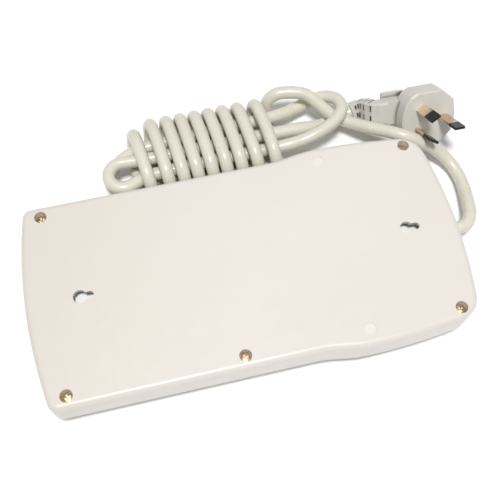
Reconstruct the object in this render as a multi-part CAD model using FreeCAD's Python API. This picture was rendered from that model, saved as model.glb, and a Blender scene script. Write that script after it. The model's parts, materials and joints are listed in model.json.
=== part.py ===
import FreeCAD, Part
import math
import os

# Extension socket lying on its front, cord in a hank behind it. Millimetres.
# x runs along the body, y away from the viewer, z up from the floor.

V = FreeCAD.Vector
UP = V(0, 0, 1)
os.makedirs("parts", exist_ok=True)

# Driving sizes of the body
HEIGHT = 29.0
HALF_LENGTH = 118.0
HALF_WIDTH = 56.7
SWELL = 2.9
SWELL_X = HALF_LENGTH - 65.0
LEFT_CORNER = 5.2
PARTING = 10.0
WALL = 2.2
FRONT_SKIN = 2.5
BACK_SKIN = 2.4
DRAFT = 2.5
BACK_ROUND = 3.2
BACK_IN = HEIGHT - BACK_SKIN

# Fasteners of the two covers
SCREW_X = HALF_LENGTH - 14.8
SCREW_Y = HALF_WIDTH - 6.7
MID_SCREW_X = -12.5
SCREW_SPOTS = [(sx * SCREW_X, sy * SCREW_Y) for sx in (-1, 1) for sy in (-1, 1)] + [(MID_SCREW_X, -SCREW_Y)]
RECESS_D = 6.6
RECESS_FLOOR = HEIGHT - 6.0
SEAT = RECESS_FLOOR - 2.0
SHANK_D = 3.0
SHANK_L = 14.5
POST_D = 9.0

# Wall mounting keyholes
KEYHOLE_X = HALF_LENGTH - 28.9
KEY_HEAD_D = 7.3
KEY_SLOT_W = 3.9
KEY_REACH = 7.35

# Two shallow round marks on the back, over the swell
DIMPLE_D = 6.4

# Outlets: two rows of three, rows mirrored about the long axis
PITCH = 46.0
FIRST_COLUMN = -HALF_LENGTH + 36.0
COLUMNS = [FIRST_COLUMN + index * PITCH for index in range(3)]
ROW_Y = 23.0
PIN_X = 6.86
PIN_V = -3.3
EARTH_V = 11.0
FLAT_X = 6.35
FLAT_V = -14.0
SLOT_L = 7.4
SLOT_W = 2.2
TILT = 30.0

# Cord and controls
CORD_D = 7.5
CORD_Z = 12.0
CONTROL_X = HALF_LENGTH - 52.0
CONTROL_Y = 24.0

made = {}


def save(name, shape):
    made[name] = shape
    shape.exportStep("parts/" + name + ".step")
    print("%-20s solids %d volume %.1f" % (name, len(shape.Solids), shape.Volume))


def box(x0, x1, y0, y1, z0, z1):
    return Part.makeBox(x1 - x0, y1 - y0, z1 - z0, V(x0, y0, z0))


def rod(diameter, x, y, z0, z1):
    return Part.makeCylinder(diameter / 2, z1 - z0, V(x, y, z0))


def rod_x(diameter, x0, x1, end_diameter=None):
    """A round bar on the cord's axis, or a cone if its far end has another diameter."""
    if end_diameter is None:
        return Part.makeCylinder(diameter / 2, x1 - x0, V(x0, 0, CORD_Z), V(1, 0, 0))
    return Part.makeCone(diameter / 2, end_diameter / 2, x1 - x0, V(x0, 0, CORD_Z), V(1, 0, 0))


def fuse(shapes):
    shapes = list(shapes)
    whole = shapes[0].fuse(shapes[1:]) if len(shapes) > 1 else shapes[0]
    return whole.removeSplitter()


def unit(vector):
    return V(vector).multiply(1.0 / vector.Length)


# Smooth routes are pairs of arcs that share a tangent
def arc_pair(p0, t0, p1, t1):
    v = p1 - p0
    t = t0 + t1
    a = 2 * (t0.dot(t1) - 1)
    b = -2 * v.dot(t)
    c = v.dot(v)
    if abs(a) < 1e-9:
        d = -c / b
    else:
        d = (-b - math.sqrt(b * b - 4 * a * c)) / (2 * a)
        if d <= 0:
            d = (-b + math.sqrt(b * b - 4 * a * c)) / (2 * a)
    q0 = p0 + t0 * d
    q1 = p1 - t1 * d
    joint = (q0 + q1) * 0.5
    return [(p0, q0, joint), (joint, q1, p1)]


def bend(start, control, end):
    """One arc from its control point: (start, middle, end, radius); radius 0 is a straight."""
    first = control - start
    last = end - control
    turn = first.getAngle(last)
    if turn < 1e-5:
        return (start, (start + end) * 0.5, end, 0.0)
    chord_mid = (start + end) * 0.5
    half = (end - start).Length / 2
    rise = half * math.tan(turn / 4)
    middle = chord_mid + unit(control - chord_mid) * rise
    return (start, middle, end, first.Length / math.tan(turn / 2))


def bend_edge(piece):
    start, middle, end, radius = piece
    if radius == 0.0:
        return Part.LineSegment(start, end).toShape()
    return Part.Arc(start, middle, end).toShape()


def bend_points(piece, step):
    start, middle, end, radius = piece
    if radius == 0.0:
        count = max(1, int((end - start).Length / step))
        return [start + (end - start) * (i / count) for i in range(count)]
    edge = bend_edge(piece)
    count = max(2, int(edge.Length / step))
    low, high = edge.ParameterRange
    return [edge.valueAt(low + (high - low) * i / count) for i in range(count)]


def smooth_route(stations):
    pieces = []
    for (p0, t0), (p1, t1) in zip(stations[:-1], stations[1:]):
        for start, control, end in arc_pair(p0, t0, p1, t1):
            pieces.append(bend(start, control, end))
    return pieces


def cornered_route(points, share=0.45):
    """Straight runs whose corners are rounded by arcs tangent to both runs."""
    points = [V(*p) for p in points]
    pieces = []
    here = points[0]
    for before, corner, after in zip(points[:-2], points[1:-1], points[2:]):
        reach = share * min((corner - before).Length, (after - corner).Length)
        start = corner + unit(before - corner) * reach
        end = corner + unit(after - corner) * reach
        pieces.append((here, (here + start) * 0.5, start, 0.0))
        pieces.append(bend(start, corner, end))
        here = end
    pieces.append((here, (here + points[-1]) * 0.5, points[-1], 0.0))
    return pieces


def route_length(pieces):
    return sum(bend_edge(p).Length for p in pieces)


def tube(pieces, diameter):
    edges = [bend_edge(p) for p in pieces]
    start = pieces[0][0]
    heading = edges[0].tangentAt(edges[0].FirstParameter)
    if (edges[0].valueAt(edges[0].FirstParameter) - start).Length > 1e-6:
        heading = edges[0].tangentAt(edges[0].LastParameter) * -1
    ring = Part.Wire([Part.makeCircle(diameter / 2, start, heading)])
    return Part.Wire(edges).makePipeShell([ring], True, False)


def report_route(name, pieces, diameter, shape):
    radii = [p[3] for p in pieces if p[3] > 0]
    length = route_length(pieces)
    section = math.pi * diameter ** 2 / 4
    print("%s length %.1f least radius %.2f volume / (section x length) %.4f"
          % (name, length, min(radii), shape.Volume / (section * length)))


# Body outline: a quarter set of stations mirrored to the near side, walked anticlockwise
def outline_stations():
    end_bow = 4.3
    end_half = HALF_WIDTH - 9.7
    end_r = (end_half ** 2 + end_bow ** 2) / (2 * end_bow)
    right_y = end_half - 2.0
    right_x = HALF_LENGTH - end_r + math.sqrt(end_r ** 2 - right_y ** 2)
    left_r = 286.0
    left_y = HALF_WIDTH - LEFT_CORNER * 0.85
    left_x = -(HALF_LENGTH - left_r + math.sqrt(left_r ** 2 - left_y ** 2))
    far = [
        (V(HALF_LENGTH, 0, 0), V(0, 1, 0)),
        (V(right_x, right_y, 0), V(-right_y / end_r, 1, 0)),
        (V(HALF_LENGTH - 17, HALF_WIDTH - 0.4, 0), V(-1, 0.137, 0)),
        (V(SWELL_X, HALF_WIDTH + SWELL, 0), V(-1, 0, 0)),
        (V(SWELL_X - 29, HALF_WIDTH, 0), V(-1, 0, 0)),
        (V(left_x + LEFT_CORNER, HALF_WIDTH, 0), V(-1, 0, 0)),
        (V(left_x, left_y, 0), V(-left_y / left_r, -1, 0)),
        (V(-HALF_LENGTH, 0, 0), V(0, -1, 0)),
    ]
    near = [(V(p.x, -p.y, 0), V(-t.x, t.y, 0)) for p, t in reversed(far[:-1])]
    return [(p, unit(t)) for p, t in far + near]


OUTLINE = smooth_route(outline_stations())


def outline(inset, z):
    """The body's outline moved in by an amount: arcs keep their centres."""
    def moved(point, along):
        inward = UP.cross(along)
        return V(point.x + inward.x * inset, point.y + inward.y * inset, z)

    edges = []
    for start, middle, end, radius in OUTLINE:
        if radius == 0.0:
            along = unit(end - start)
            edges.append(Part.LineSegment(moved(start, along), moved(end, along)).toShape())
            continue
        chord = unit(end - start)
        centre = Part.Arc(start, middle, end).toShape().Curve.Center
        side = 1 if chord.cross(centre - start).z > 0 else -1
        places = []
        for point in (start, middle, end):
            inward = unit(centre - point) * side
            places.append(V(point.x + inward.x * inset, point.y + inward.y * inset, z))
        edges.append(Part.Arc(*places).toShape())
    return Part.Wire(edges)


def slab(inset, z0, z1):
    return Part.Face(outline(inset, z0)).extrude(V(0, 0, z1 - z0))


def tapered(inset0, z0, inset1, z1):
    return Part.makeLoft([outline(inset0, z0), outline(inset1, z1)], True, True)


def slot(cx, cy, length, width, angle, z0, z1):
    shape = box(-length / 2, length / 2, -width / 2, width / 2, z0, z1)
    shape.rotate(V(0, 0, 0), UP, angle)
    shape.translate(V(cx, cy, 0))
    return shape


# Each outlet as (x, y, side): v runs outward from the long axis
OUTLETS = [(x, side * ROW_Y, side) for side in (1, -1) for x in COLUMNS]


def pin_places(x, y, side):
    """Slots of one outlet: (name, x, y, angle of the blade)."""
    places = []
    for hand in (1, -1):
        lean = side * hand * (90 - TILT)
        places.append(("power", hand, x + hand * PIN_X, y + side * PIN_V, lean))
        places.append(("flat", hand, x + hand * FLAT_X, y + side * FLAT_V, 90))
    places.append(("earth", 0, x, y + side * EARTH_V, 90))
    return places


# Front cover, with a bay for each shutter
RUN = 0.05
SHUTTER_T = 3.0
SHUTTER_TOP = FRONT_SKIN + RUN + SHUTTER_T
GUIDE_TOP = SHUTTER_TOP + RUN
GUIDE_T = 1.2
SPRING_L = 6.0
TRAVEL = 3.6
PLATE_W = 27.0
PLATE_V0 = -18.4
PLATE_V1 = 0.8

front_outer = tapered(DRAFT, 0, 0, PARTING)
inner_draft = DRAFT * (1 - FRONT_SKIN / PARTING)
front_hollow = tapered(inner_draft + WALL, FRONT_SKIN, WALL, PARTING)
front = front_outer.cut(front_hollow)
tongue = slab(1.35, PARTING - 1.5, PARTING + 1.9).cut(slab(WALL + 0.4, PARTING - 2, PARTING + 2))
additions = [tongue]
for x, y in SCREW_SPOTS:
    additions.append(rod(POST_D, x, y, FRONT_SKIN, SEAT).common(slab(WALL + 2 * RUN, 0, HEIGHT)))


def shutter_bay(x, side):
    """Limits of the bay of one shutter: x0, x1, y0, y1. The plate rests clear of its spring at x0."""
    ys = sorted((side * (ROW_Y + PLATE_V0), side * (ROW_Y + PLATE_V1)))
    x0 = x - PLATE_W / 2 - SPRING_L
    return x0, x0 + SPRING_L + PLATE_W + TRAVEL + RUN, ys[0] - RUN, ys[1] + RUN


for x, y, side in OUTLETS:
    x0, x1, y0, y1 = shutter_bay(x, side)
    rim = box(x0 - GUIDE_T, x1 + GUIDE_T, y0 - GUIDE_T, y1 + GUIDE_T, FRONT_SKIN, GUIDE_TOP)
    additions.append(rim.cut(box(x0, x1, y0, y1, FRONT_SKIN, GUIDE_TOP)))

# The gland sits in the end wall, and a saddle inside carries the cord clamp
GLAND_D = CORD_D + 4.9
GLAND_IN = HALF_LENGTH - 4.6
FLANGE_T = 2.2
SLEEVE_IN = GLAND_IN - FLANGE_T - 10.7
CLAMP_X1 = SLEEVE_IN - 1.0
CLAMP_X0 = CLAMP_X1 - 5.0
CLAMP_X = (CLAMP_X0 + CLAMP_X1) / 2
CLAMP_HALF = 12.0
CLAMP_SCREW_Y = 8.5
CORD_END = CLAMP_X0 - 2.5
additions.append(box(CLAMP_X0, CLAMP_X1, -CLAMP_HALF, CLAMP_HALF, FRONT_SKIN, CORD_Z))
front = fuse([front] + additions)

# Openings of the front cover
ROCKER_L, ROCKER_W = 22.0, 15.0
BUSH_D = 12.0
LENS_L, LENS_W = 8.0, 5.0
cuts = []
for x, y, side in OUTLETS:
    for kind, hand, px, py, angle in pin_places(x, y, side):
        cuts.append(slot(px, py, SLOT_L, SLOT_W, angle, -1, FRONT_SKIN + 0.01))
cuts.append(box(CONTROL_X - ROCKER_L / 2, CONTROL_X + ROCKER_L / 2,
                CONTROL_Y - ROCKER_W / 2, CONTROL_Y + ROCKER_W / 2, -1, FRONT_SKIN + 0.01))
cuts.append(rod(BUSH_D, CONTROL_X, -CONTROL_Y, -1, FRONT_SKIN + 0.01))
cuts.append(box(CONTROL_X - LENS_L / 2, CONTROL_X + LENS_L / 2, -LENS_W / 2, LENS_W / 2, -1, FRONT_SKIN + 0.01))
for x, y in SCREW_SPOTS:
    cuts.append(rod(SHANK_D, x, y, RECESS_FLOOR - SHANK_L - 0.5, SEAT + 1))
for sy in (-1, 1):
    cuts.append(rod(SHANK_D, CLAMP_X, sy * CLAMP_SCREW_Y, FRONT_SKIN + 2.5, CORD_Z + 1))
cuts.append(rod_x(CORD_D, CLAMP_X0 - 1, CLAMP_X1 + 1))
cuts.append(rod_x(GLAND_D, GLAND_IN, HALF_LENGTH + 1))
front = front.cut(cuts)
save("front_cover", front)

# Back cover
shell = slab(0, PARTING, HEIGHT)
top_edges = [e for e in shell.Edges
             if all(abs(v.Z - HEIGHT) < 1e-6 for v in e.Vertexes)]
shell = shell.makeFillet(BACK_ROUND, top_edges)
back = shell.cut(slab(WALL, PARTING - 1, BACK_IN))
back = back.cut(slab(1.3, PARTING - 1, PARTING + 2.0))
posts = [rod(POST_D + 1.5, x, y, SEAT, BACK_IN + 1).common(slab(1.5, 0, HEIGHT)) for x, y in SCREW_SPOTS]
back = fuse([back] + posts)
cuts = []
for x, y in SCREW_SPOTS:
    cuts.append(rod(RECESS_D, x, y, RECESS_FLOOR, HEIGHT + 1))
    cuts.append(rod(SHANK_D + 0.4, x, y, SEAT - 1, RECESS_FLOOR + 1))
for sx in (-1, 1):
    x = sx * KEYHOLE_X
    cuts.append(rod(KEY_HEAD_D, x, 0, BACK_IN - 1, HEIGHT + 1))
    slot_end = x + KEY_REACH - KEY_SLOT_W / 2
    cuts.append(box(x, slot_end, -KEY_SLOT_W / 2, KEY_SLOT_W / 2, BACK_IN - 1, HEIGHT + 1))
    cuts.append(rod(KEY_SLOT_W, slot_end, 0, BACK_IN - 1, HEIGHT + 1))
for sy in (-1, 1):
    cuts.append(rod(DIMPLE_D, SWELL_X, sy * (SCREW_Y + 0.5), HEIGHT - 0.3, HEIGHT + 1))
cuts.append(rod_x(GLAND_D, GLAND_IN, HALF_LENGTH + 1))
back = back.cut(cuts)
save("back_cover", back)

# Cups behind the keyholes, so that a wall screw can't reach the bars
CUP_DEPTH = 5.6
CUP_WALL = 1.0
CUP_SPARE = 1.6
CUP_HALF = KEY_HEAD_D / 2 + CUP_SPARE


def cup(x):
    """A tray under the back's skin, wide enough for the head to slide along its slot."""
    x0, x1 = x - CUP_HALF, x + KEY_REACH + CUP_SPARE
    floor = BACK_IN - CUP_DEPTH
    outside = box(x0 - CUP_WALL, x1 + CUP_WALL, -CUP_HALF - CUP_WALL, CUP_HALF + CUP_WALL, floor - CUP_WALL, BACK_IN)
    return outside.cut(box(x0, x1, -CUP_HALF, CUP_HALF, floor, BACK_IN))


save("keyhole_cups", Part.makeCompound([cup(sx * KEYHOLE_X) for sx in (-1, 1)]))


def cross_screw(x, y, seat, head_d, head_h, depth):
    head = rod(head_d, x, y, seat, seat + head_h)
    dome = Part.makeSphere(head_d, V(x, y, seat + head_h - head_d)).common(head)
    shank = rod(SHANK_D, x, y, seat - depth, seat)
    screw = dome.fuse(shank)
    for angle in (0, 90):
        screw = screw.cut(slot(x, y, head_d * 0.6, head_d * 0.16, angle + 20, seat + head_h - 1.4, seat + head_h + 1))
    return screw.removeSplitter()


save("housing_screws", Part.makeCompound(
    [cross_screw(x, y, RECESS_FLOOR, RECESS_D - 0.8, 2.4, SHANK_L) for x, y in SCREW_SPOTS]))

# Cord entry: a gland held by its flange behind the end wall, and a clamp on the cord inside
GLAND_OUT = HALF_LENGTH + 2.5
gland = fuse([
    rod_x(CORD_D + 2.0, SLEEVE_IN, GLAND_IN - FLANGE_T, GLAND_D - 1.4),
    rod_x(GLAND_D + 3.6, GLAND_IN - FLANGE_T, GLAND_IN),
    rod_x(GLAND_D, GLAND_IN, HALF_LENGTH),
    rod_x(GLAND_D, HALF_LENGTH, GLAND_OUT, CORD_D + 2.9)])
save("cord_gland", gland.cut(rod_x(CORD_D, SLEEVE_IN - 1, GLAND_OUT + 1)))
save("cord_inside", rod_x(CORD_D, CORD_END, GLAND_OUT))
CLAMP_TOP = CORD_Z + 5.5
clamp = box(CLAMP_X0, CLAMP_X1, -CLAMP_HALF, CLAMP_HALF, CORD_Z, CLAMP_TOP)
clamp = clamp.cut(rod_x(CORD_D, CLAMP_X0 - 1, CLAMP_X1 + 1))
for sy in (-1, 1):
    clamp = clamp.cut(rod(SHANK_D + 0.4, CLAMP_X, sy * CLAMP_SCREW_Y, CORD_Z - 1, CLAMP_TOP + 1))
save("cord_clamp", clamp)
save("clamp_screws", Part.makeCompound(
    [cross_screw(CLAMP_X, sy * CLAMP_SCREW_Y, CLAMP_TOP, RECESS_D - 1, 2.2, CLAMP_TOP - 5.5) for sy in (-1, 1)]))

# Contact bars with their spring clips
BAR_Z = BACK_IN - 7.6
BAR_T = 0.8
BAR_TOP = BAR_Z + BAR_T
RAIL_W = 2.6
NEUTRAL_Y = ROW_Y + 5.0
CLIP_Z0 = 9.0
BLADE_T = 1.5
LEAF_T = 0.5
LEAF_L = 6.0
# the earth rails run midway between the earth clips and the screw posts
EARTH_Y = (ROW_Y + EARTH_V + LEAF_L / 2 + SCREW_Y - POST_D / 2) / 2
FINGER_W = 6.4


def clip(px, py, angle):
    leaves = []
    for hand in (1, -1):
        leaf = box(-LEAF_L / 2, LEAF_L / 2, 0, LEAF_T, CLIP_Z0, BAR_Z)
        leaf.translate(V(0, BLADE_T / 2 if hand > 0 else -BLADE_T / 2 - LEAF_T, 0))
        leaf.rotate(V(0, 0, 0), UP, angle)
        leaf.translate(V(px, py, 0))
        leaves.append(leaf)
    return leaves


def strip(x0, x1, y0, y1):
    ys = sorted((y0, y1))
    return box(x0, x1, ys[0], ys[1], BAR_Z, BAR_TOP)


def rail(x0, x1, y):
    return strip(x0, x1, y - RAIL_W / 2, y + RAIL_W / 2)


def frame_of_rails(x0, near_end, far_end, y):
    """Two rails along the body, joined by one across it at the left."""
    return [rail(x0, near_end, -y), rail(x0, far_end, y), strip(x0, x0 + RAIL_W, -y, y)]


LIVE_END = CONTROL_X - 22.0
SPACER_X, SPACER_Y = 4.0, 3.6
SPACER_PLACES = [COLUMNS[0] + PITCH / 2, COLUMNS[1] + PITCH / 2, LIVE_END - 11]
save("bar_spacers", Part.makeCompound([
    box(x - SPACER_X / 2, x + SPACER_X / 2, y - SPACER_Y / 2, y + SPACER_Y / 2, FRONT_SKIN, BAR_Z)
    for x in SPACER_PLACES for y in (0, NEUTRAL_Y, -NEUTRAL_Y, EARTH_Y, -EARTH_Y)]))
live = [rail(COLUMNS[0] - 12, LIVE_END, 0)]
neutral = frame_of_rails(COLUMNS[0] - 19, COLUMNS[-1] + 26, LIVE_END + 2, NEUTRAL_Y)
earth = frame_of_rails(COLUMNS[0] - 27, COLUMNS[-1] + 26, LIVE_END + 3, EARTH_Y)
earth_ways = []
for x, y, side in OUTLETS:
    for kind, hand, px, py, angle in pin_places(x, y, side):
        if kind == "earth":
            earth.append(strip(px - FINGER_W / 2, px + FINGER_W / 2, side * EARTH_Y, py - side * 4.2))
            earth += clip(px, py, angle)
            earth_ways.append(slot(px, py, LEAF_L + 1, BLADE_T + 0.4, angle, BAR_Z - 1, BAR_TOP + 1))
        elif hand == side:
            live += clip(px, py, angle)
        else:
            neutral += clip(px, py, angle)
    mid = x + side * (PIN_X + FLAT_X) / 2
    live.append(strip(mid - FINGER_W / 2, mid + FINGER_W / 2, 0, side * (ROW_Y + 0.2)))
    mid = x - side * (PIN_X + FLAT_X) / 2
    neutral.append(strip(mid - FINGER_W / 2, mid + FINGER_W / 2, side * 5.2, side * NEUTRAL_Y))
save("live_bar", fuse(live))
save("neutral_bar", fuse(neutral))
save("earth_bar", fuse(earth).cut(earth_ways))

# Shutters, each one plate that slides along x against a pull spring
retainers = []
springs = []
for number, (x, y, side) in enumerate(OUTLETS, 1):
    x0, x1, y0, y1 = shutter_bay(x, side)
    plate_x = x0 + SPRING_L
    plate = box(plate_x, plate_x + PLATE_W, y0 + RUN, y1 - RUN, FRONT_SKIN + RUN, SHUTTER_TOP)
    windows = []
    gaps = []
    for kind, hand, px, py, angle in pin_places(x, y, side):
        if kind != "earth":
            windows.append(slot(px - TRAVEL, py, SLOT_L, SLOT_W, angle, 0, HEIGHT))
            gaps.append(slot(px, py, SLOT_L, SLOT_W, angle, 0, HEIGHT))
    save("shutter_%d" % number, plate.cut(windows))
    cap = box(x0 - GUIDE_T, x1 + GUIDE_T, y0 - GUIDE_T, y1 + GUIDE_T, GUIDE_TOP, GUIDE_TOP + GUIDE_T)
    retainers.append(cap.cut(gaps))
    middle = V(x0, (y0 + y1) / 2, SHUTTER_TOP - SHUTTER_T / 2)
    springs.append(Part.makeCylinder(1.1, SPRING_L, middle, V(1, 0, 0)))
save("shutter_retainers", Part.makeCompound(retainers))
save("shutter_springs", Part.makeCompound(springs))

# Master switch: housing, rocker on its own trunnions, terminals
CX, CY = CONTROL_X, CONTROL_Y
FACE_Z = 0.5
SWITCH_TOP = 13.0
PIVOT_Z = 7.0
PIVOT_D = 3.0
CAVITY_L, CAVITY_W = 20.4, 13.4
housing = box(CX - ROCKER_L / 2, CX + ROCKER_L / 2, CY - ROCKER_W / 2, CY + ROCKER_W / 2, FACE_Z, FRONT_SKIN)
housing = housing.fuse(box(CX - 12.5, CX + 12.5, CY - 9, CY + 9, FRONT_SKIN, SWITCH_TOP))
housing = housing.cut([
    box(CX - CAVITY_L / 2, CX + CAVITY_L / 2, CY - CAVITY_W / 2, CY + CAVITY_W / 2, -1, SWITCH_TOP - 1.5),
    Part.makeCylinder(PIVOT_D / 2 + 0.03, 16.4, V(CX, CY - 8.2, PIVOT_Z), V(0, 1, 0))])
save("switch_housing", housing.removeSplitter())
REST_TILT = 6.0
reach = CAVITY_L / 2 - 0.6
profile = [(-reach, -4.6), (0, -5.6), (reach, -4.6), (reach, 1.0), (3.0, 3.5), (-3.0, 3.5), (-reach, 1.0)]
half_w = CAVITY_W / 2 - RUN
rim = Part.makePolygon([V(CX + a, CY - half_w, PIVOT_Z + b) for a, b in profile + profile[:1]])
rocker = Part.Face(rim).extrude(V(0, 2 * half_w, 0))
trunnions = Part.makeCylinder(PIVOT_D / 2, 16.0, V(CX, CY - 8.0, PIVOT_Z), V(0, 1, 0))
rocker = rocker.fuse(trunnions).removeSplitter()
rocker.rotate(V(CX, CY, PIVOT_Z), V(0, 1, 0), REST_TILT)
save("switch_rocker", rocker)
TAB_L, TAB_T, TAB_H = 4.8, 0.8, 4.0
TAB_X = [CX - 5, CX + 5]
TAB_Y = [CY - 4, CY + 4]


def tab(x, y, z):
    return box(x - TAB_L / 2, x + TAB_L / 2, y - TAB_T / 2, y + TAB_T / 2, z, z + TAB_H)


save("switch_terminals", Part.makeCompound([tab(x, y, SWITCH_TOP) for x in TAB_X for y in TAB_Y]))

# Overload breaker with a sprung reset button
BUTTON_D = 7.0
BUTTON_TOP = 7.0
BORE_TOP = BUTTON_TOP + 4.0
BREAKER_TOP = BORE_TOP + 1.8
breaker = rod(BUSH_D, CX, -CY, FACE_Z, FRONT_SKIN)
breaker = breaker.fuse(box(CX - 11, CX + 11, -CY - 8, -CY + 8, FRONT_SKIN, BREAKER_TOP))
breaker = breaker.cut(rod(BUTTON_D + 2 * RUN, CX, -CY, -1, BORE_TOP)).removeSplitter()
save("breaker_body", breaker)
save("reset_button", rod(BUTTON_D, CX, -CY, 0.8, BUTTON_TOP))
save("reset_spring", rod(5.6, CX, -CY, BUTTON_TOP, BORE_TOP).cut(rod(4.2, CX, -CY, BUTTON_TOP, BORE_TOP)))
save("breaker_terminals", Part.makeCompound([tab(x, -CY, BREAKER_TOP) for x in TAB_X]))

# Neon lamp behind its lens
LENS_TOP = FRONT_SKIN + 1.0
lens = box(CX - LENS_L / 2, CX + LENS_L / 2, -LENS_W / 2, LENS_W / 2, FACE_Z, FRONT_SKIN)
lens = lens.fuse(box(CX - 5.5, CX + 5.5, -4, 4, FRONT_SKIN, LENS_TOP)).removeSplitter()
save("indicator_lens", lens)
save("indicator_lamp", rod(5.0, CX, 0, LENS_TOP, 14.0))

# Push-on receptacles and the leads between them
WIRE_D = 2.4
RECEPT_H = 4.4


def receptacle(x, y, z):
    return box(x - 2.9, x + 2.9, y - 1.3, y + 1.3, z + 0.5, z + 0.5 + RECEPT_H).cut(tab(x, y, z))


sockets = [receptacle(x, y, SWITCH_TOP) for x in TAB_X for y in TAB_Y]
sockets += [receptacle(x, -CY, BREAKER_TOP) for x in TAB_X]
save("receptacles", Part.makeCompound(sockets))
SWITCH_LEAD = SWITCH_TOP + 0.5 + RECEPT_H
BREAKER_LEAD = BREAKER_TOP + 0.5 + RECEPT_H
HIGH = BACK_IN - WIRE_D / 2 - 1.0
CORE_Z = CORD_Z - 1.2
CORE_Y = 1.75
EARTH_CORE_Z = CORD_Z + 2.2
xa, xb = TAB_X
ya, yb = TAB_Y


def wire(points):
    return tube(cornered_route(points), WIRE_D)


live_wires = [
    wire([(CORD_END, -CORE_Y, CORE_Z), (CORD_END - 5.5, -CORE_Y, CORE_Z), (CX + 14.5, -CY / 2, CORD_Z + 3),
          (CX + 11, 2 - CY, HIGH - 1), (xb, -CY, HIGH), (xb, -CY, BREAKER_LEAD)]),
    wire([(xa, -CY, BREAKER_LEAD), (xa, -CY, HIGH), (xa, ya, HIGH), (xa, ya, SWITCH_LEAD)]),
    wire([(xa, yb, SWITCH_LEAD), (xa, yb, HIGH), (CX - 13, CY - 5, HIGH), (LIVE_END - 2, CY / 4, HIGH),
          (LIVE_END - 2.5, 0, HIGH), (LIVE_END - 2.5, 0, BAR_TOP)]),
]
save("live_wires", Part.makeCompound(live_wires))
neutral_wires = [
    wire([(CORD_END, CORE_Y, CORE_Z), (CORD_END - 5.5, CORE_Y + 0.8, CORE_Z), (CX + 15.5, CY - 14.5, CORD_Z + 2),
          (CX + 11, CY - 7, HIGH - 1.5), (xb, ya, HIGH), (xb, ya, SWITCH_LEAD)]),
    wire([(xb, yb, SWITCH_LEAD), (xb, yb, HIGH), (xb - 6, CY + 10, HIGH), (LIVE_END + 6, CY + 10, HIGH),
          (LIVE_END, NEUTRAL_Y, HIGH), (LIVE_END, NEUTRAL_Y, BAR_TOP)]),
]
save("neutral_wires", Part.makeCompound(neutral_wires))
save("earth_wire", wire([
    (CORD_END, 0, EARTH_CORE_Z), (CORD_END - 5, 1, EARTH_CORE_Z), (CX + 19, CY / 2, HIGH - 7.4),
    (CX + 18, CY + 6, HIGH - 5.4), (CX + 10, EARTH_Y - 1, HIGH - 2.4), (CX - 6, EARTH_Y, HIGH),
    (LIVE_END + 1, EARTH_Y, HIGH), (LIVE_END + 1, EARTH_Y, BAR_TOP)]))

# Hank: one unbroken tube, nine turns round four strands with a loop at each end
YC, ZC = 82.8, 13.95
TURN_Y, TURN_Z = 20.3, 10.2
# where each turn crosses the top of the hank, from left to right
TOPS = [-43.7, -32.4, -23.4, -15.2, -6.6, 1.7, 10.4, 19.4, 30.6]


def station(x, y, z, tx, ty, tz):
    return (V(x, y, z), unit(V(tx, ty, tz)))


hank_stations = [
    station(44, 83.2, 14.0, -1, 0, 0),
    station(-44, 81.2, 15.0, -1, 0, 0),
    station(-56.2, 80.6, 16.2, -1, 0, 0),
    station(-63.8, 73.0, 16.2, 0, -1, 0),
    station(-56.2, 65.4, 16.2, 1, 0, 0),
    station(-43, 71.2, 14.2, 1, 0.05, -0.05),
    station(-34, 71.9, 13.9, 1, 0.04, 0),
    station(38, 73.2, 14.2, 1, 0, 0),
    station(50, 72.2, 17.5, 1, 0.05, 0.22),
    station(66, 77.2, 20.6, 0.85, 0.52, 0.03),
    station(79.8, 88.2, 21.0, 0.12, 1, -0.02),
    station(71, 101.2, 15.0, -1, 0.12, -0.35),
    station(58, 102.6, 9.0, -1, -0.12, -0.1),
    station(46, 96.8, 11.4, -1, -0.25, 0.15),
    station(34, 94.2, 13.9, -1, -0.05, 0),
    station(-40, 89.9, 14.6, -1, 0, 0),
    station(-49, 88.9, 12.8, -0.97, -0.2, -0.25),
    station(-59.8, 84, 7.3, -0.6, -0.7, -0.4),
    station(-63.4, 76, 4.3, 0, -1, -0.1),
    station(-55.2, 67.3, 3.95, 1, 0, 0),
    station(-47.3, 75.2, 3.95, 0, 1, 0),
]


def turn_x(quarter):
    """x of the winding after a number of quarter turns from the first top."""
    turn = quarter / 4
    if turn <= 0:
        return TOPS[0] + 9.0 * turn
    if turn >= len(TOPS) - 1:
        return TOPS[-1] + 9.0 * (turn - len(TOPS) + 1)
    whole = int(turn)
    return TOPS[whole] + (TOPS[whole + 1] - TOPS[whole]) * (turn - whole)


for quarter in range(-2, 4 * (len(TOPS) - 1) + 3):
    angle = math.radians(90 + 90 * quarter)
    half_y = TURN_Y - 5 if quarter == -1 else TURN_Y
    hank_stations.append(station(
        turn_x(quarter), YC + half_y * math.cos(angle), ZC + TURN_Z * math.sin(angle),
        turn_x(quarter + 0.5) - turn_x(quarter - 0.5),
        -half_y * math.sin(angle) * math.pi / 2, TURN_Z * math.cos(angle) * math.pi / 2))
hank_stations.append(station(36.2, 103.1, 12.6, 0.05, 0.2, 1))
HANK_HEADING = unit(V(0.985, -0.17, 0.03))
lift_off = V(45.6, 104.4, 21.8)
HANK_END = lift_off + HANK_HEADING * CORD_D
hank_stations.append((lift_off, HANK_HEADING))
hank_stations.append((HANK_END, HANK_HEADING))
hank_route = smooth_route(hank_stations)
hank = tube(hank_route, CORD_D)
save("cord_hank", hank)
report_route("hank", hank_route, CORD_D, hank)


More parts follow.
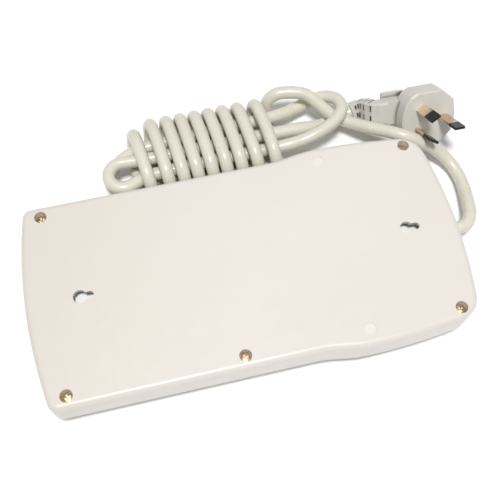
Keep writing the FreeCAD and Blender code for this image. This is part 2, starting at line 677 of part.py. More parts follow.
def least_self_gap(pieces, diameter, step=1.5):
    points = []
    for piece in pieces:
        points += bend_points(piece, step)
    points.append(pieces[-1][2])
    along = [0.0]
    for a, b in zip(points[:-1], points[1:]):
        along.append(along[-1] + (b - a).Length)
    least = 1e9
    for i, a in enumerate(points):
        for j in range(i + 1, len(points)):
            if along[j] - along[i] > 3.2 * diameter:
                b = points[j]
                if abs(a.x - b.x) < 2 * diameter:
                    least = min(least, (a - b).Length - diameter)
    return least


print("hank least gap to itself %.2f" % least_self_gap(hank_route, CORD_D))

# Lead from the gland to the hank, tail from the hank to the plug
LEAD = [
    (GLAND_OUT, 0, CORD_Z), (128.2, 0, 12), (133.9, 6.2, 11.6), (135.9, 15.6, 10), (138, 26, 7), (138.3, 37, 5.6),
    (134.4, 47, 7.6), (126.3, 53.2, 13.4), (118.4, 56.1, 17.8), (110.5, 58.5, 22.2), (104.4, 62.6, 22),
    (98.2, 68.2, 18.8), (90.6, 73.6, 16.7), (82.9, 82, 11.7), (74.4, 87.4, 12.6), (66, 95.2, 18.3),
]
lead_points = LEAD + [tuple(HANK_END + HANK_HEADING * 7.8), tuple(HANK_END)]
RELIEF_TIP = V(87.6, 91.6, 8.0)
TAIL = [(44, 83.2, 14.0), (55, 83.2, 14.0), (65, 85.6, 7.0), (76.5, 90.4, 4.9), tuple(RELIEF_TIP)]
for name, points in (("cord_lead", lead_points), ("cord_tail", TAIL)):
    route = cornered_route(points)
    shape = tube(route, CORD_D)
    save(name, shape)
    report_route(name, route, CORD_D, shape)

# Plug: face plane, pins and cord side as three directions square to each other
PIN_DIR = unit(V(0.1, -0.83, 0.55))
exit_guess = V(-0.993, -0.045, 0.11)
CORD_DIR = unit(exit_guess - PIN_DIR * exit_guess.dot(PIN_DIR))
SIDE_DIR = CORD_DIR.cross(PIN_DIR)
FACE_AT = V(124.8, 68.3, 22.9)
PLUG_MIDDLE = -1.1
PLUG_DEPTH = 21.5
NECK_OUT = 20.0
AXIS_SIDE = 2.1
AXIS_DEPTH = 14.2
BLOCK_SIDE = 6.9
BLOCK_PIN = 4.6
TAB_SIDE = 9.2


def at(side, out, pin):
    return FACE_AT + SIDE_DIR * side + CORD_DIR * out + PIN_DIR * pin


def ring_of(corners, pin):
    return Part.makePolygon([at(a, b, pin) for a, b in corners + corners[:1]])


def plug_ring(half, cord, nose, pin):
    """Outline of the plug at one depth: half width, reach towards the cord, and reach of its cornered nose."""
    right = [(0.87 * half, 0.68 * cord), (half, 0.43 * cord), (half, -0.49 * nose), (0.58 * half, -0.92 * nose)]
    corners = right + [(0, -nose)] + [(-a, b) for a, b in reversed(right)]
    places = [at(PLUG_MIDDLE + a, b, pin) for a, b in corners]
    edges = [Part.LineSegment(p, q).toShape() for p, q in zip(places[:-1], places[1:])]
    edges.append(Part.Arc(places[-1], at(PLUG_MIDDLE, cord, pin), places[0]).toShape())
    return Part.Wire(edges)


def plug_box(side0, side1, out0, out1, pin0, pin1):
    corners = [(side0, pin0), (side1, pin0), (side1, pin1), (side0, pin1), (side0, pin0)]
    return Part.Face(Part.makePolygon([at(a, out0, b) for a, b in corners])).extrude(CORD_DIR * (out1 - out0))


# The face has a chamfered rim, the sides taper a little and the back falls away
plug = Part.makeLoft([
    plug_ring(16.1, 14.4, 18.5, 0), plug_ring(17, 15.2, 19.3, -1), plug_ring(16.6, 15, 18.9, -13),
    plug_ring(10.3, 11, 14, -PLUG_DEPTH)], True, True)
plug = fuse([
    plug,
    plug_box(AXIS_SIDE - BLOCK_SIDE, AXIS_SIDE + BLOCK_SIDE, 8, NECK_OUT,
             -AXIS_DEPTH - BLOCK_PIN, -AXIS_DEPTH + BLOCK_PIN),
    plug_box(AXIS_SIDE - TAB_SIDE, AXIS_SIDE + TAB_SIDE, 6, NECK_OUT, -PLUG_DEPTH, -AXIS_DEPTH - BLOCK_PIN)])
BLADE_W = 6.3
PIN_L = 18.0
EARTH_L = 21.0
ROOT = 8.0


def blade(side, out, lean, length):
    """A flat pin: lean is the turn of its width from the cord direction."""
    c, s = math.cos(math.radians(lean)), math.sin(math.radians(lean))
    corners = []
    for w, t in ((-1, -1), (1, -1), (1, 1), (-1, 1)):
        a = w * BLADE_W / 2 * s + t * BLADE_T / 2 * c
        b = w * BLADE_W / 2 * c - t * BLADE_T / 2 * s
        corners.append((side + a, out + b))
    return Part.Face(ring_of(corners, -ROOT)).extrude(PIN_DIR * (ROOT + length))


pins = [blade(6.86, 3.96, -TILT, PIN_L), blade(-6.86, 3.96, TILT, PIN_L)]
earth_pin = blade(0, -10.31, 0, EARTH_L)
save("plug_body", plug.cut(pins + [earth_pin]))
save("plug_power_pins", Part.makeCompound(pins))
save("plug_earth_pin", earth_pin)

# Strain relief: a block that tapers from the plug's neck to the cord, slotted on its four sides
relief_start = at(AXIS_SIDE, NECK_OUT, -AXIS_DEPTH)
tip_heading = unit(V(11.1, 1.2, 3.1))
relief_route = smooth_route([(relief_start, CORD_DIR), (RELIEF_TIP, tip_heading * -1)])
relief_length = route_length(relief_route)
relief_points = bend_points(relief_route[0], 0.1) + bend_points(relief_route[1], 0.1) + [RELIEF_TIP]
TIP_HALF = 4.5
EDGE_CUT = 1.0


def relief_place(share):
    """Middle of the block, its directions along and across, and its two half widths, at a share of its length."""
    index = int(round(share * (len(relief_points) - 1)))
    if index == 0:
        along = CORD_DIR
    elif index == len(relief_points) - 1:
        along = tip_heading * -1
    else:
        along = unit(relief_points[index + 1] - relief_points[index - 1])
    side = unit(SIDE_DIR - along * SIDE_DIR.dot(along))
    half_side = BLOCK_SIDE + (TIP_HALF - BLOCK_SIDE) * share
    half_pin = BLOCK_PIN + (TIP_HALF - BLOCK_PIN) * share
    return relief_points[index], along, side, side.cross(along) * -1, half_side, half_pin


def relief_ring(share):
    middle, along, side, pin, a, b = relief_place(share)
    ring = []
    for sa, sb in ((1, 1), (-1, 1), (-1, -1), (1, -1)):
        ends = [(sa * a, sb * (b - EDGE_CUT)), (sa * (a - EDGE_CUT), sb * b)]
        ring += ends if sa == sb else ends[::-1]
    return Part.makePolygon([middle + side * u + pin * v for u, v in ring + ring[:1]])


def relief_slot(share, side0, side1, pin0, pin1):
    middle, along, side, pin, a, b = relief_place(share)
    middle = middle - along * (SLOT_CUT / 2)
    corners = [(side0, pin0), (side1, pin0), (side1, pin1), (side0, pin1), (side0, pin0)]
    return Part.Face(Part.makePolygon([middle + side * u + pin * v for u, v in corners])).extrude(along * SLOT_CUT)


SLOT_CUT = 1.1
SLOT_DEPTH = 1.5
SLOT_BRIDGE = 1.2
SLOTS = 5
FIRST_SLOT = 6.7
SLOT_PITCH = 3.25
relief = Part.makeLoft([relief_ring(index / 8) for index in range(9)], True, True)
slots = []
for index in range(SLOTS):
    share = (FIRST_SLOT + SLOT_PITCH * index) / relief_length
    a, b = relief_place(share)[4:]
    for sa in (1, -1):
        for sb in (1, -1):
            slots.append(relief_slot(share, sa * SLOT_BRIDGE, sa * (a - 1.3), sb * (b - SLOT_DEPTH), sb * (b + 1)))
        if index < SLOTS - 1:
            between = share + SLOT_PITCH / 2 / relief_length
            slots.append(relief_slot(between, sa * (a - SLOT_DEPTH), sa * (a + 1), 1.5 - b, b - 1.5))
relief = relief.cut(slots)
relief = relief.fuse(tube(relief_route, CORD_D + 0.4)).removeSplitter()
print("relief length %.1f least radius %.1f" % (relief_length, min(p[3] for p in relief_route)))
save("plug_strain_relief", relief)
low = min(made[n].BoundBox.ZMin for n in made)
print("lowest point %.2f, plug %.2f, relief %.2f" % (low, made["plug_body"].BoundBox.ZMin, relief.BoundBox.ZMin))
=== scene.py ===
import json
import math

import bpy
from mathutils import Matrix, Vector


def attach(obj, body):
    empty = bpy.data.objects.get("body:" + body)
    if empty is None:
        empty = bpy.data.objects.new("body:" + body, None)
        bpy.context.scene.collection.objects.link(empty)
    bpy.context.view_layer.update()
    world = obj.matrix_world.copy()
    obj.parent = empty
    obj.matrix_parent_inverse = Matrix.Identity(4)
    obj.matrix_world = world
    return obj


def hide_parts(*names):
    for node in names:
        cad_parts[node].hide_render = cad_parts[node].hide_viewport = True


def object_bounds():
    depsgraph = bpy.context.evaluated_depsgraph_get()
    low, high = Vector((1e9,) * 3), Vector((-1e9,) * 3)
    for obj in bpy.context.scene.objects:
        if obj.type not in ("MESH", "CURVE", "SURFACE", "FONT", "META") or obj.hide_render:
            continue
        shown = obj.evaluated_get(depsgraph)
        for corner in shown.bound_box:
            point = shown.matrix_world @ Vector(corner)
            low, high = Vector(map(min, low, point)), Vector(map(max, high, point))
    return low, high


# Extension socket lying on its front, its cord in a hank behind it. Metres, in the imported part's frame.
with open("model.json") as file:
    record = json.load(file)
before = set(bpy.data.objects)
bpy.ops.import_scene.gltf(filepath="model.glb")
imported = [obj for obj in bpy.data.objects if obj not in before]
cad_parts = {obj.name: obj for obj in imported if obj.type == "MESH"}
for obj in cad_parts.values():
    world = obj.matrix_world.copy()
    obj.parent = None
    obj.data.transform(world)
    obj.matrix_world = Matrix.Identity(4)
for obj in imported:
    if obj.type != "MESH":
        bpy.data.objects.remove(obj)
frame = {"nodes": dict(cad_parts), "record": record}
CAD_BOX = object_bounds()
MM = 0.001

# Camera, where the photograph was taken from
CAMERA_AT = Vector((-0.0427, -0.1537, 0.4078))
CAMERA_FORWARD = Vector((0.1105, 0.3862, -0.9158))
CAMERA_UP = Vector((0.2037, 0.8931, 0.4012))
LENS_MM = 55.73
SENSOR_MM = 36.0
CLIP_START = 0.01


def add_camera():
    camera = bpy.data.objects.new("camera", bpy.data.cameras.new("camera"))
    bpy.context.scene.collection.objects.link(camera)
    camera.data.lens = LENS_MM
    camera.data.sensor_width = SENSOR_MM
    camera.data.clip_start = CLIP_START
    forward = CAMERA_FORWARD.normalized()
    right = forward.cross(CAMERA_UP).normalized()
    up = right.cross(forward)
    axes = Matrix((right, up, -forward)).transposed()
    camera.matrix_world = Matrix.Translation(CAMERA_AT) @ axes.to_4x4()
    bpy.context.scene.camera = camera


# Cord in millimetres: its diameter, its height at the gland, and the x where it comes out of the gland
CORD_D = 7.5
CORD_Z = 12.0
GLAND_OUT = 120.5

# How finely the cord is drawn, along its spline and round it
STEPS_PER_POINT = 6
BEVEL_STEPS = 6

# Hank in millimetres: the middle and half size in y and z of a turn's oval, the radius at its near and far
# sides, and the x of each turn's top
TURN_MIDDLE = (82.8, 13.95)
TURN_HALF = (20.3, 10.2)
TURN_SIDE_R = 8.8
TOPS = [-43.7, -32.4, -23.4, -15.2, -6.6, 1.7, 10.4, 19.4, 30.6]
QUARTERS = 4
STEPS_PER_QUARTER = 5

# The winding goes on past its first and last tops by so many quarter turns, at this pitch. Before the
# first it is drawn in.
QUARTERS_BEFORE = 2
QUARTERS_AFTER = 3
END_PITCH = 9.0
DRAWN_IN_BEFORE = 5.0

# Control points of the cord outside its turns, in millimetres and in the order of its route
LEAD = [
    (GLAND_OUT, 0, CORD_Z), (126, 0.1, 12), (130.8, 2.6, 11.8), (134, 7.8, 11.3),
    (135.9, 15.6, 10), (138, 26, 7), (138.3, 37, 5.6), (134.4, 47, 7.6), (126.3, 53.2, 13.4),
    (118.4, 56.1, 17.8), (110.5, 58.5, 22.2), (104.4, 62.6, 22), (98.2, 68.2, 18.8),
    (90.6, 73.6, 16.7), (82.9, 82, 11.7), (74.4, 87.4, 12.6), (66, 95.2, 18.3), (61, 100.5, 21.2),
    (54.5, 103, 22.1), (48.3, 104.3, 22.1), (43, 104.8, 21.9), (38.9, 104.5, 19.5), (36.5, 103.9, 15.3),
]
LEFT_LOOP_LOW = [
    (-47.3, 77.8, 3.95), (-47.3, 73.1, 3.95), (-49.5, 69.4, 3.95), (-53.2, 67.2, 3.95),
    (-57.6, 67.2, 3.95), (-61.3, 69.4, 3.95), (-63.5, 73.1, 4.1), (-64, 78.3, 4.9), (-61.6, 83, 6.9),
    (-57, 86.3, 9.4), (-51, 88.2, 11.8),
]
FAR_STRAND = [
    (-45, 89.3, 13.7), (-37, 89.9, 14.5), (-25, 90.7, 14.5), (-9, 91.6, 14.3), (10, 92.8, 14.1),
    (26, 93.8, 13.9),
]
RIGHT_LOOP = [
    (37, 94.3, 13.9), (45, 96.4, 11.6), (54, 100, 9.8), (63.5, 102.6, 11), (72, 101.8, 14.5),
    (78.3, 96.3, 18.5), (79.6, 87.5, 20.8), (73.5, 80, 20.9), (64, 75.3, 20), (53.5, 72.6, 18.2),
    (44.5, 72.6, 15.6),
]
NEAR_STRAND = [(35, 73.1, 14.2), (22, 72.9, 14.1), (4, 72.7, 14.1), (-14, 72.3, 14), (-28, 71.9, 13.9)]
LEFT_LOOP_HIGH = [
    (-37, 71.5, 13.9), (-43.5, 70.5, 14.1), (-48.8, 67.7, 15.1), (-53.6, 65.1, 16), (-58, 65.1, 16.2),
    (-61.7, 67.3, 16.2), (-63.9, 71, 16.2), (-63.9, 75.4, 16.2), (-61.7, 79.1, 16.2),
    (-58, 81.3, 16.2), (-53.4, 81.5, 16),
]
MIDDLE_STRAND = [
    (-46.5, 81.4, 15.4), (-37.5, 81.3, 15.1), (-25, 81.6, 14.9), (-7, 82.1, 14.7), (12, 82.6, 14.4),
    (32, 83.1, 14.1),
]
TAIL = [(44, 83.2, 14.0), (54.5, 83.3, 13.2), (65, 85.6, 7.8), (76.5, 90.6, 4.5), (87.6, 91.6, 8.0)]


def turn_x(quarter):
    """x of the winding after a number of quarter turns from the first top."""
    turn = quarter / QUARTERS
    last = len(TOPS) - 1
    if turn <= 0:
        return TOPS[0] + END_PITCH * turn
    if turn >= last:
        return TOPS[-1] + END_PITCH * (turn - last)
    whole = int(turn)
    return TOPS[whole] + (TOPS[whole + 1] - TOPS[whole]) * (turn - whole)


def oval_point(quarter, half_y):
    """(y, z) of a control point on a turn: an oval of two arcs a quarter, its points evenly spread."""
    half_z = TURN_HALF[1]
    rise = half_y - TURN_SIDE_R
    top_r = (rise ** 2 + half_z ** 2 - TURN_SIDE_R ** 2) / (2 * (half_z - TURN_SIDE_R))
    top_angle = math.atan2(rise, top_r - half_z)
    top_length = top_r * top_angle
    length = top_length + TURN_SIDE_R * (math.pi / 2 - top_angle)
    spacing = length / STEPS_PER_QUARTER

    whole = math.floor(quarter)
    share = quarter - whole
    going_out = whole % 2 == 0
    run = length * (share if going_out else 1 - share)
    # A control point stands outside its arc by as much as the spline cuts in
    if run < top_length:
        angle = run / top_r
        reach = top_r + spacing ** 2 / (8 * top_r)
        out, up = reach * math.sin(angle), half_z - top_r + reach * math.cos(angle)
    else:
        angle = top_angle + (run - top_length) / TURN_SIDE_R
        reach = TURN_SIDE_R + spacing ** 2 / (8 * TURN_SIDE_R)
        out, up = rise + reach * math.sin(angle), reach * math.cos(angle)
    side = -1 if whole % QUARTERS in (0, 1) else 1
    level = 1 if whole % QUARTERS in (0, 3) else -1
    return TURN_MIDDLE[0] + side * out, TURN_MIDDLE[1] + level * up


def winding():
    """Control points of the turns, from the last to the first."""
    first = -QUARTERS_BEFORE * STEPS_PER_QUARTER
    last = STEPS_PER_QUARTER * (QUARTERS * (len(TOPS) - 1) + QUARTERS_AFTER) - 1
    points = []
    for step in range(last, first - 1, -1):
        quarter = step / STEPS_PER_QUARTER
        half_y = TURN_HALF[0] - DRAWN_IN_BEFORE if quarter < 0 else TURN_HALF[0]
        points.append((turn_x(quarter), *oval_point(quarter, half_y)))
    return points


def cord_points():
    """The route from gland to plug: lead, turns, the end loops and strands inside them, and tail."""
    return (LEAD + winding() + LEFT_LOOP_LOW + FAR_STRAND + RIGHT_LOOP + NEAR_STRAND + LEFT_LOOP_HIGH
            + MIDDLE_STRAND + TAIL)


def add_cord():
    points = cord_points()
    data = bpy.data.curves.new("cord", "CURVE")
    data.dimensions = "3D"
    spline = data.splines.new("NURBS")
    spline.points.add(len(points) - 1)
    for place, point in zip(spline.points, points):
        place.co = (point[0] * MM, point[1] * MM, point[2] * MM, 1.0)
        place.radius = CORD_D / 2 * MM
    spline.order_u = 3
    spline.use_endpoint_u = True
    spline.resolution_u = STEPS_PER_POINT
    # A curve's box is widened by the radius of its points, so they hold the cord's and the bevel is 1
    data.bevel_depth = 1.0
    data.bevel_resolution = BEVEL_STEPS
    data.use_fill_caps = True
    cord = bpy.data.objects.new("cord", data)
    bpy.context.scene.collection.objects.link(cord)
    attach(cord, "housing")
    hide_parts("cord_lead", "cord_hank", "cord_tail")
    return cord


# Colours, and those of the painted shade and painted reflection on them
BACK_SHELL = (0.79, 0.745, 0.688)
# Greyer than the back and darkened: the front cover's moulding, with painted shade for its walls
FRONT_SHELL_SHADED = (0.745, 0.735, 0.70)
# Painted shade in the shell's recesses
RECESS_PAINTED_SHADE = (0.64, 0.56, 0.46)
CORD_SHEATH = (0.74, 0.71, 0.61)
# Painted shade in the cord's crevices
CORD_PAINTED_SHADE = (0.55, 0.50, 0.41)
PLUG_PLASTIC = (0.66, 0.645, 0.585)
# Painted shade in the plug's slots and corners
PLUG_PAINTED_SHADE = (0.13, 0.12, 0.10)
CUP_FLOOR = (0.97, 0.965, 0.93)
# Painted shade on the keyhole cups' walls
CUP_WALL_PAINTED_SHADE = (0.12, 0.10, 0.09)
PIN_BRASS = (0.80, 0.63, 0.47)
# Painted dark reflection on the pins towards their tips
PIN_PAINTED_REFLECTION = (0.008, 0.008, 0.008)
EARTH_GREEN = (0.06, 0.24, 0.05)
EARTH_YELLOW = (0.62, 0.58, 0.06)
FLOOR_WHITE = (0.97, 0.97, 0.97)

# Share of a colour that is left in scratches, streaks and handling marks, in the painted sheen on the
# round marks and in the painted shadow along the seam
SCRATCH_SHADE = 0.9
STREAK_SHADE = 0.93
MARK_SHEEN = 1.035
SEAM_SHADE = 0.42
HANDLING_SHADE = 0.86

# The shell is darker and a little yellower from its middle to its left end: the share of each channel that
# is left there
LEFT_END_SHARE = (0.915, 0.90, 0.885)

# Height in millimetres of the seam where the covers meet, and how far above and below it its painted
# shadow fades out
SEAM_Z = 10.0
SEAM_SHADOW_FADE = (0.2, 0.9)

# Round marks on the back, in millimetres: the x and y of the far one, and the soft rim of the lighter disc
# painted on each as a painted sheen. The other is its mirror in y.
MARK_AT = (53.0, 50.5)
MARK_RIM = (2.6, 3.2)

# Pins, in millimetres: the way they point, a place on the plug's face, how far out from it the brass
# of each ends and the black of a painted dark reflection begins, and half the width of that edge
PIN_DIR = Vector((0.1, -0.83, 0.55)).normalized()
FACE_AT = Vector((124.8, 68.3, 22.9))
BRASS_REACH = {"plug_power_pins": 9.9, "plug_earth_pin": 13.6}
REFLECTION_EDGE = 0.15

# Slots with a plain look
MOULDED = {
    "inner_plastic": dict(colour=(0.80, 0.79, 0.75), roughness=0.5, share=0.93),
    "shutter_plastic": dict(colour=(0.30, 0.31, 0.33), roughness=0.5, share=0.88, scale=90),
    "rocker_plastic": dict(colour=(0.48, 0.03, 0.02), roughness=0.25, share=0.85, scale=120, coat=0.3),
    "button_plastic": dict(colour=(0.025, 0.025, 0.027), roughness=0.3, share=0.7, scale=120, coat=0.2),
    "breaker_plastic": dict(colour=(0.03, 0.03, 0.032), roughness=0.5, share=0.75, scale=80),
    "receptacle_sleeve": dict(colour=(0.72, 0.72, 0.69), roughness=0.45),
    "live_insulation": dict(colour=(0.17, 0.055, 0.02), roughness=0.38, share=0.85, scale=120),
    "neutral_insulation": dict(colour=(0.02, 0.075, 0.35), roughness=0.38, share=0.85, scale=120),
}
METALS = {
    "plated_screw": dict(colour=(0.79, 0.66, 0.48), roughness=0.4),
    "contact_brass": dict(colour=(0.80, 0.62, 0.32), roughness=0.35, share=0.85),
    "spring_steel": dict(colour=(0.60, 0.60, 0.61), roughness=0.3),
}
CLEAR = {
    "lens": dict(colour=(0.85, 0.25, 0.08), roughness=0.12, clearness=0.6),
    "lamp_glass": dict(colour=(0.95, 0.82, 0.74), roughness=0.05, clearness=0.85),
}


def shade(colour, share):
    """A colour made darker, or lighter where the share is over 1."""
    return tuple(c * share for c in colour)


class Surface:
    """A material whose colour, roughness and relief vary over the surface. Scales are per metre."""

    ROUGHNESS_SPREAD = 0.18
    ROUGHNESS_SCALE = 140
    COAT_ROUGHNESS = 0.12

    def __init__(self, name, roughness, metallic=0.0, coat=0.0):
        self.material = bpy.data.materials.new(name)
        self.material.use_nodes = True
        self.tree = self.material.node_tree
        self.shader = self.tree.nodes["Principled BSDF"]
        self.shader.inputs["Metallic"].default_value = metallic
        self.shader.inputs["Coat Weight"].default_value = coat
        self.shader.inputs["Coat Roughness"].default_value = self.COAT_ROUGHNESS
        self.place = self.tree.nodes.new("ShaderNodeTexCoord").outputs["Object"]
        self.vary_roughness(roughness)

    def link(self, start, end):
        self.tree.links.new(start, end)

    def number(self, operation, value, second=None):
        node = self.tree.nodes.new("ShaderNodeMath")
        node.operation = operation
        self.link(value, node.inputs[0])
        if second is not None:
            node.inputs[1].default_value = second
        return node.outputs[0]

    def vector(self, operation, value, second, output="Vector"):
        node = self.tree.nodes.new("ShaderNodeVectorMath")
        node.operation = operation
        self.link(value, node.inputs[0])
        node.inputs[1].default_value = second
        return node.outputs[output]

    def part_of(self, value, axis):
        node = self.tree.nodes.new("ShaderNodeSeparateXYZ")
        self.link(value, node.inputs[0])
        return node.outputs[axis]

    def noise(self, scale, detail=3.0, finer=None):
        """Noise, finer along x, y and z by these factors."""
        node = self.tree.nodes.new("ShaderNodeTexNoise")
        node.inputs["Scale"].default_value = scale
        node.inputs["Detail"].default_value = detail
        place = self.vector("MULTIPLY", self.place, finer) if finer else self.place
        self.link(place, node.inputs["Vector"])
        return node.outputs["Fac"]

    def between(self, amount, low, high, start=0.3, end=0.7):
        """low where the amount is at start, high where it is at end, and held beyond them."""
        node = self.tree.nodes.new("ShaderNodeMapRange")
        for key, value in (("From Min", start), ("From Max", end), ("To Min", low), ("To Max", high)):
            node.inputs[key].default_value = value
        self.link(amount, node.inputs["Value"])
        return node.outputs["Result"]

    def mix(self, amount, first, second):
        node = self.tree.nodes.new("ShaderNodeMix")
        node.data_type = "RGBA"
        self.link(amount, node.inputs["Factor"])
        for socket, value in ((node.inputs["A"], first), (node.inputs["B"], second)):
            if isinstance(value, tuple):
                socket.default_value = (*value, 1)
            else:
                self.link(value, socket)
        return node.outputs["Result"]

    def vary_roughness(self, roughness):
        spread = roughness * self.ROUGHNESS_SPREAD
        varied = self.between(self.noise(self.ROUGHNESS_SCALE), roughness - spread, roughness + spread)
        self.link(varied, self.shader.inputs["Roughness"])

    def colour(self, value):
        self.link(value, self.shader.inputs["Base Color"])

    def mottled(self, colour, share, scale):
        return self.mix(self.between(self.noise(scale), 0, 1), colour, shade(colour, share))

    def off_mark(self):
        """Distance along the back from the middle of the nearer round mark."""
        folded = self.tree.nodes.new("ShaderNodeCombineXYZ")
        self.link(self.part_of(self.place, "X"), folded.inputs["X"])
        self.link(self.number("ABSOLUTE", self.part_of(self.place, "Y")), folded.inputs["Y"])
        middle = (MARK_AT[0] * MM, MARK_AT[1] * MM, 0)
        return self.vector("DISTANCE", folded.outputs[0], middle, "Value")

    def off_seam(self):
        """Height above or below the seam where the covers meet."""
        above = self.number("SUBTRACT", self.part_of(self.place, "Z"), SEAM_Z * MM)
        return self.number("ABSOLUTE", above)

    def crevice_shaded(self, value, crevice_colour, reach=0.003, start=0.35, end=0.85):
        """Painted shade in the crevices of the piece: darker where its own surfaces lie within a reach in
        metres.
        """
        node = self.tree.nodes.new("ShaderNodeAmbientOcclusion")
        node.only_local = True
        node.inputs["Distance"].default_value = reach
        return self.mix(self.between(node.outputs["AO"], 0, 1, start, end), crevice_colour, value)

    def relief(self, height, depth, strength=0.5):
        node = self.tree.nodes.new("ShaderNodeBump")
        node.inputs["Strength"].default_value = strength
        node.inputs["Distance"].default_value = depth
        self.link(height, node.inputs["Height"])
        self.link(node.outputs["Normal"], self.shader.inputs["Normal"])


def moulded(name, colour, roughness, share=0.95, scale=35.0, coat=0.0):
    """Moulded plastic with a fine grain."""
    surface = Surface(name, roughness, coat=coat)
    surface.colour(surface.mottled(colour, share, scale))
    surface.relief(surface.noise(scale=1500), depth=0.00004)
    return surface.material


def metal(name, colour, roughness, share=0.8):
    """Plated or bare metal, its grain finest along z."""
    surface = Surface(name, roughness, metallic=1.0)
    surface.colour(surface.mottled(colour, share, scale=260))
    surface.relief(surface.noise(scale=900, detail=4, finer=(1.0, 1.0, 6.0)), depth=0.00003)
    return surface.material


def clear(name, colour, roughness, clearness):
    """Tinted clear plastic or glass, moulded with a fine ripple."""
    surface = Surface(name, roughness)
    surface.shader.inputs["Transmission Weight"].default_value = clearness
    surface.shader.inputs["IOR"].default_value = 1.49
    surface.colour(surface.mottled(colour, share=0.85, scale=200))
    surface.relief(surface.noise(scale=600), depth=0.00005)
    return surface.material


def shell_material(name, colour, marked=False):
    """Glossy warm white moulding with scratches, darker and yellower towards its left end, painted shade
    in its recesses, a painted shadow along the seam, and round marks with a painted sheen or else streaks.
    """
    surface = Surface(name, roughness=0.34, coat=0.15)
    # Darker and a little yellower from the middle to the left end
    towards_left = surface.between(surface.part_of(surface.place, "X"), 1, 0, start=CAD_BOX[0].x, end=0)
    left_end_colour = tuple(c * share for c, share in zip(colour, LEFT_END_SHARE))
    left_darker = surface.mix(towards_left, surface.mottled(colour, share=0.955, scale=9), left_end_colour)

    scratch = surface.noise(scale=60, detail=6, finer=(0.35, 9.0, 1.0))
    scratched = surface.between(scratch, 0, 1, start=0.66, end=0.8)
    wear_and_sheen = surface.mix(scratched, left_darker, shade(colour, SCRATCH_SHADE))
    if marked:
        # A lighter disc on each round mark, as a painted sheen
        mark_sheen = surface.between(surface.off_mark(), 1, 0, start=MARK_RIM[0] * MM, end=MARK_RIM[1] * MM)
        wear_and_sheen = surface.mix(mark_sheen, wear_and_sheen, shade(colour, MARK_SHEEN))
    else:
        streak = surface.noise(scale=60, detail=3, finer=(0.3, 0.3, 16.0))
        streaked = surface.between(streak, 0, 1, start=0.5, end=0.66)
        wear_and_sheen = surface.mix(streaked, wear_and_sheen, shade(colour, STREAK_SHADE))

    # Painted shade in the recesses, darker where the shell's own surfaces lie close
    crevice_shaded = surface.crevice_shaded(wear_and_sheen, RECESS_PAINTED_SHADE, reach=0.0015, start=0.3, end=0.75)
    # Painted shadow of the gap between the covers: a dark line along the seam
    seam = surface.between(surface.off_seam(), 1, 0, start=SEAM_SHADOW_FADE[0] * MM, end=SEAM_SHADOW_FADE[1] * MM)
    surface.colour(surface.mix(seam, crevice_shaded, shade(colour, SEAM_SHADE)))
    surface.relief(surface.noise(scale=700, detail=2), depth=0.00003, strength=0.35)
    return surface.material


def cup_material():
    """Light tray behind a keyhole, its walls painted dark as painted shade, apart from the left one."""
    surface = Surface("keyhole_cup", roughness=0.5)
    normal = surface.tree.nodes.new("ShaderNodeNewGeometry").outputs["Normal"]
    floor = surface.between(surface.part_of(normal, "Z"), 0, 1, start=0.3, end=0.8)
    left_wall = surface.between(surface.part_of(normal, "X"), 0, 1, start=0.05, end=0.4)
    plain_colour = surface.mottled(CUP_FLOOR, share=0.95, scale=90)
    # Painted shade: the cup's walls dark, apart from the left one
    surface.colour(surface.mix(floor, surface.mix(left_wall, CUP_WALL_PAINTED_SHADE, plain_colour), plain_colour))
    surface.relief(surface.noise(scale=1300), depth=0.00004)
    return surface.material


def cord_material():
    """Glossy flexible sheath, a little lumpy over its cores, with handling marks and painted shade in its
    crevices.
    """
    surface = Surface("cord_sheath", roughness=0.27, coat=0.1)
    marks = surface.between(surface.noise(scale=420, detail=5), 0, 1, start=0.62, end=0.85)
    plain_colour = surface.mottled(CORD_SHEATH, share=0.95, scale=55)
    sheath = surface.mix(marks, plain_colour, shade(CORD_SHEATH, HANDLING_SHADE))
    # Painted shade in the crevices between the turns
    surface.colour(surface.crevice_shaded(sheath, CORD_PAINTED_SHADE, start=0.1, end=0.5))
    surface.relief(surface.noise(scale=190, detail=2), depth=0.00006, strength=0.4)
    return surface.material


def plug_material():
    """Moulded rubbery plastic with a fine grain and painted shade in its slots and corners."""
    surface = Surface("plug_plastic", roughness=0.38)
    # Painted shade in the slots and corners
    surface.colour(surface.crevice_shaded(surface.mottled(PLUG_PLASTIC, share=0.93, scale=45), PLUG_PAINTED_SHADE))
    surface.relief(surface.noise(scale=1300), depth=0.00005)
    return surface.material


def pin_material(name, brass_reach):
    """Bright brass at the root and black towards the tip as a painted dark reflection, its edge square to
    the pin.
    """
    surface = Surface(name, roughness=0.3)
    along = surface.vector("DOT_PRODUCT", surface.place, PIN_DIR, "Value")
    edge = FACE_AT.dot(PIN_DIR) + brass_reach
    # Painted dark reflection: black from this edge out to the tip, and not metallic there
    dark_reflection = surface.between(along, 0, 1, start=(edge - REFLECTION_EDGE) * MM, end=(edge + REFLECTION_EDGE) * MM)
    surface.colour(surface.mix(dark_reflection, surface.mottled(PIN_BRASS, share=0.85, scale=300), PIN_PAINTED_REFLECTION))
    surface.link(surface.between(dark_reflection, 1, 0, start=0, end=1), surface.shader.inputs["Metallic"])
    surface.relief(surface.noise(scale=800, detail=4, finer=(1.0, 1.0, 5.0)), depth=0.00002)
    return surface.material


def striped_material():
    """Earth core: green insulation with a yellow stripe."""
    surface = Surface("earth_insulation", roughness=0.4)
    wave = surface.tree.nodes.new("ShaderNodeTexWave")
    wave.inputs["Scale"].default_value = 110
    wave.inputs["Distortion"].default_value = 0.6
    surface.link(surface.place, wave.inputs["Vector"])
    stripe = surface.between(wave.outputs["Fac"], 0, 1, start=0.42, end=0.5)
    surface.colour(surface.mix(stripe, EARTH_YELLOW, EARTH_GREEN))
    surface.relief(surface.noise(scale=900), depth=0.00004)
    return surface.material


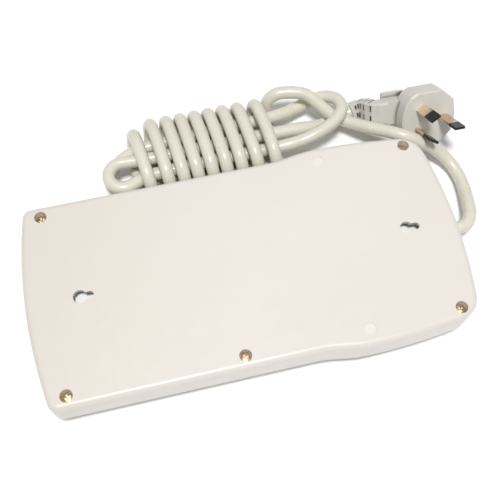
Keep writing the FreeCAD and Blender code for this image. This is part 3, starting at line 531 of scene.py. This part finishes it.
def slot_materials():
    """A material for each of the record's slots, apart from the pins' slot."""
    made = {
        "shell": shell_material("back_shell", BACK_SHELL, marked=True),
        "cord_sheath": cord_material(),
        "plug_plastic": plug_material(),
        "earth_insulation": striped_material(),
    }
    for make, looks in ((moulded, MOULDED), (metal, METALS), (clear, CLEAR)):
        for slot, look in looks.items():
            made[slot] = make(slot, **look)
    return made


def node_materials():
    """A material for each pin node, and for the two nodes that look unlike the rest of their slot."""
    made = {name: pin_material(name, brass_reach) for name, brass_reach in BRASS_REACH.items()}
    made["keyhole_cups"] = cup_material()
    # The front cover: its moulding greyer than the back's and darkened, as painted shade on its walls
    made["front_cover"] = shell_material("front_shell", FRONT_SHELL_SHADED)
    return made


def dress(cord):
    by_slot = slot_materials()
    by_node = node_materials()
    for row in frame["record"]["subparts"]:
        name = row["node"]
        node = frame["nodes"][name]
        material = by_node[name] if name in by_node else by_slot[row["material_slot"]]
        for slot in node.material_slots:
            slot.material = material
        if not node.material_slots:
            node.data.materials.append(material)
    cord.data.materials.append(by_slot["cord_sheath"])


# Studio: a white floor and one soft key light
FLOOR_HALF = 3.0
FLOOR_CORNERS = [(x * FLOOR_HALF, y * FLOOR_HALF, 0) for x, y in ((-1, -1), (1, -1), (1, 1), (-1, 1))]
KEY_AT = Vector((-0.1, -0.36, 2.1))
KEY_AIM = Vector((0, 0.02, 0))
KEY_SIZE = 0.42
KEY_POWER = 34.2

# Studio walls and ceiling: brightness by the height of the direction looked in, 0 level and 1 straight up
SKY = [(0.0, 0.85), (0.2, 0.85), (0.34, 0.14), (0.8, 1.0)]
SKY_STRENGTH = 0.5


def add_floor():
    data = bpy.data.meshes.new("floor")
    data.from_pydata(FLOOR_CORNERS, [], [(0, 1, 2, 3)])
    floor = bpy.data.objects.new("floor", data)
    bpy.context.scene.collection.objects.link(floor)
    material = bpy.data.materials.new("floor")
    material.use_nodes = True
    shader = material.node_tree.nodes["Principled BSDF"]
    shader.inputs["Base Color"].default_value = (*FLOOR_WHITE, 1)
    shader.inputs["Roughness"].default_value = 0.9
    data.materials.append(material)


def add_key_light():
    data = bpy.data.lights.new("key", "AREA")
    data.shape = "DISK"
    data.size = KEY_SIZE
    data.energy = KEY_POWER
    light = bpy.data.objects.new("key", data)
    bpy.context.scene.collection.objects.link(light)
    light.location = KEY_AT
    light.rotation_euler = (KEY_AT - KEY_AIM).to_track_quat("Z", "Y").to_euler()


def add_sky():
    world = bpy.data.worlds.new("studio")
    bpy.context.scene.world = world
    world.use_nodes = True
    tree = world.node_tree
    background = tree.nodes["Background"]
    background.inputs["Strength"].default_value = SKY_STRENGTH
    direction = tree.nodes.new("ShaderNodeTexCoord").outputs["Generated"]
    parts = tree.nodes.new("ShaderNodeSeparateXYZ")
    tree.links.new(direction, parts.inputs[0])
    ramp = tree.nodes.new("ShaderNodeValToRGB")
    while len(ramp.color_ramp.elements) < len(SKY):
        ramp.color_ramp.elements.new(1.0)
    for step, (height, brightness) in zip(ramp.color_ramp.elements, SKY):
        step.position = height
        step.color = (brightness, brightness, brightness, 1.0)
    tree.links.new(parts.outputs["Z"], ramp.inputs["Fac"])
    tree.links.new(ramp.outputs["Color"], background.inputs["Color"])


add_camera()
cord = add_cord()
dress(cord)
add_floor()
add_key_light()
add_sky()
bpy.context.scene.view_settings.view_transform = "Standard"
bpy.context.view_layer.update()
